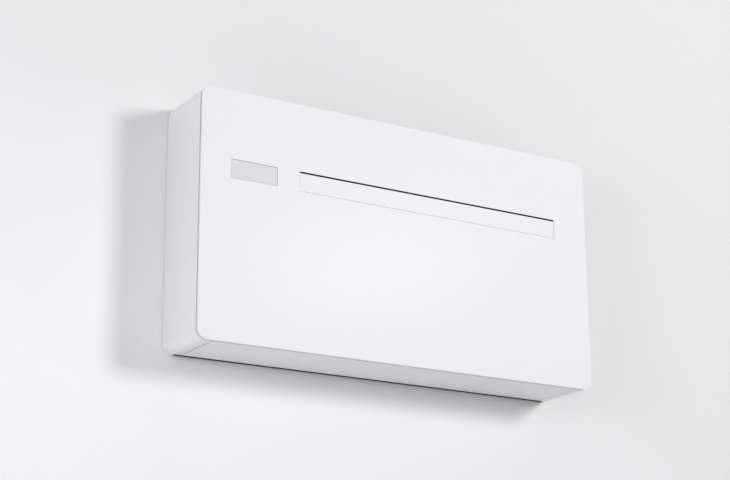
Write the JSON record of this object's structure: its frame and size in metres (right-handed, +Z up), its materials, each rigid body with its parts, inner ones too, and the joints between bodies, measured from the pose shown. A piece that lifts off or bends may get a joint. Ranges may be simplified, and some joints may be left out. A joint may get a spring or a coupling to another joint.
{
  "type": "monoblock air conditioner",
  "caption": "Wall hung air conditioner without outdoor unit: flat white casing, tilting front outlet flap, display window, top filter grilles and rear wall duct collars.",
  "frame": {"origin": "centre of the wall bracket's four corner holes, on the wall plane", "axes": "+X to the right facing the front, +Y into the wall, +Z up"},
  "size_m": [1.01, 0.165, 0.549],
  "materials": {
    "white_paint": "satin",
    "white_plastic": "satin",
    "window_plastic": "gloss",
    "galvanised_steel": "matte",
    "zinc_hardware": "satin",
    "dark_plastic": "matte",
    "fan_plastic": "matte",
    "gear_nylon": "matte",
    "moulded_foam": "matte",
    "seal_foam": "matte",
    "inner_plastic": "matte",
    "motor_steel": "satin",
    "fin_aluminium": "satin",
    "copper": "satin",
    "black_steel": "satin",
    "circuit_board": "satin",
    "filter_net": "matte"
  },
  "bodies": {
    "casing": {"base_pan": "inner_plastic", "bottom_panel": "white_paint", "cable_gland": "dark_plastic", "casing_screws": "zinc_hardware", "centrifugal_motor": "motor_steel", "compressor": "black_steel", "compressor_grommets": "seal_foam", "condenser_coil": "fin_aluminium", "control_board": "circuit_board", "cross_flow_bearing": "motor_steel", "cross_flow_motor": "motor_steel", "display_window": "window_plastic", "drain_spigot": "dark_plastic", "drip_tray": "inner_plastic", "duct_collar_left": "dark_plastic", "duct_collar_right": "dark_plastic", "electrical_box": "galvanised_steel", "evaporator_fins": "fin_aluminium", "evaporator_tubes": "copper", "exhaust_plenum": "moulded_foam", "fan_volute": "moulded_foam", "filter_guides": "inner_plastic", "finger_guard": "dark_plastic", "flap_bushes": "gear_nylon", "flap_motor": "motor_steel", "front_panel": "white_paint", "front_panel_studs": "zinc_hardware", "left_side_panel": "white_paint", "outlet_duct": "dark_plastic", "rear_bumpers": "seal_foam", "rear_frame": "galvanised_steel", "refrigerant_pipes": "copper", "reversing_valve": "copper", "right_side_panel": "white_paint", "section_divider": "moulded_foam", "terminal_block": "gear_nylon", "top_panel": "white_paint", "touch_board": "circuit_board", "vane_motor": "motor_steel", "wall_bracket": "galvanised_steel", "wall_seals": "seal_foam"},
    "flap": {"outlet_flap": "white_plastic", "flap_sector_gear": "gear_nylon"},
    "pinion": {"flap_pinion": "gear_nylon"},
    "vane_link": {"vane_link_bar": "dark_plastic"},
    "room_fan": {"cross_flow_fan": "fan_plastic"},
    "outdoor_fan": {"centrifugal_wheel": "fan_plastic"},
    "filter_left": {"filter_cassette_left": "white_plastic", "filter_mesh_left": "filter_net"},
    "filter_right": {"filter_cassette_right": "white_plastic", "filter_mesh_right": "filter_net"},
    "float": {"condensate_float": "fan_plastic"},
    "vane_1": {"vane_1": "dark_plastic"},
    "vane_2": {"vane_2": "dark_plastic"},
    "vane_3": {"vane_3": "dark_plastic"},
    "vane_4": {"vane_4": "dark_plastic"},
    "vane_5": {"vane_5": "dark_plastic"},
    "vane_6": {"vane_6": "dark_plastic"},
    "vane_7": {"vane_7": "dark_plastic"},
    "vane_8": {"vane_8": "dark_plastic"}
  },
  "joints": [
    {"name": "flap_tilt", "type": "hinge", "parent": "casing", "child": "flap", "pos_m": [0.07175, -0.16, -0.1335], "axis": [1, 0, 0], "range_deg": [0, 60]},
    {"name": "pinion_spin", "type": "hinge", "parent": "casing", "child": "pinion", "pos_m": [0.42, -0.13341, -0.13819], "axis": [1, 0, 0], "range_deg": [-120, 0]},
    {"name": "vane_1_swing", "type": "hinge", "parent": "casing", "child": "vane_1", "pos_m": [-0.22641, -0.134, -0.115], "axis": [0, 0, 1], "range_deg": [-30, 30]},
    {"name": "vane_2_swing", "type": "hinge", "parent": "casing", "child": "vane_2", "pos_m": [-0.14122, -0.134, -0.115], "axis": [0, 0, 1], "range_deg": [-30, 30]},
    {"name": "vane_3_swing", "type": "hinge", "parent": "casing", "child": "vane_3", "pos_m": [-0.05603, -0.134, -0.115], "axis": [0, 0, 1], "range_deg": [-30, 30]},
    {"name": "vane_4_swing", "type": "hinge", "parent": "casing", "child": "vane_4", "pos_m": [0.02916, -0.134, -0.115], "axis": [0, 0, 1], "range_deg": [-30, 30]},
    {"name": "vane_5_swing", "type": "hinge", "parent": "casing", "child": "vane_5", "pos_m": [0.11434, -0.134, -0.115], "axis": [0, 0, 1], "range_deg": [-30, 30]},
    {"name": "vane_6_swing", "type": "hinge", "parent": "casing", "child": "vane_6", "pos_m": [0.19953, -0.134, -0.115], "axis": [0, 0, 1], "range_deg": [-30, 30]},
    {"name": "vane_7_swing", "type": "hinge", "parent": "casing", "child": "vane_7", "pos_m": [0.28472, -0.134, -0.115], "axis": [0, 0, 1], "range_deg": [-30, 30]},
    {"name": "vane_8_swing", "type": "hinge", "parent": "casing", "child": "vane_8", "pos_m": [0.36991, -0.134, -0.115], "axis": [0, 0, 1], "range_deg": [-30, 30]},
    {"name": "link_pivot", "type": "hinge", "parent": "vane_1", "child": "vane_link", "pos_m": [-0.22641, -0.122, -0.133], "axis": [0, 0, 1], "range_deg": [-30, 30]},
    {"name": "room_fan_spin", "type": "hinge", "parent": "casing", "child": "room_fan", "pos_m": [0.07175, -0.066, -0.057], "axis": [1, 0, 0], "continuous": true},
    {"name": "outdoor_fan_spin", "type": "hinge", "parent": "casing", "child": "outdoor_fan", "pos_m": [-0.1465, -0.09, -0.365], "axis": [0, 1, 0], "continuous": true},
    {"name": "filter_left_lift", "type": "slide", "parent": "casing", "child": "filter_left", "axis": [0, 0, 1], "range_m": [0, 0.06]},
    {"name": "filter_right_lift", "type": "slide", "parent": "casing", "child": "filter_right", "axis": [0, 0, 1], "range_m": [0, 0.06]},
    {"name": "float_rise", "type": "slide", "parent": "casing", "child": "float", "axis": [0, 0, 1], "range_m": [0, 0.012]}
  ],
  "couplings": [
    {"joint": "pinion_spin", "follows": "flap_tilt", "ratio": -2},
    {"joint": "vane_2_swing", "follows": "vane_1_swing", "ratio": 1},
    {"joint": "vane_3_swing", "follows": "vane_1_swing", "ratio": 1},
    {"joint": "vane_4_swing", "follows": "vane_1_swing", "ratio": 1},
    {"joint": "vane_5_swing", "follows": "vane_1_swing", "ratio": 1},
    {"joint": "vane_6_swing", "follows": "vane_1_swing", "ratio": 1},
    {"joint": "vane_7_swing", "follows": "vane_1_swing", "ratio": 1},
    {"joint": "vane_8_swing", "follows": "vane_1_swing", "ratio": 1},
    {"joint": "link_pivot", "follows": "vane_1_swing", "ratio": -1}
  ]
}
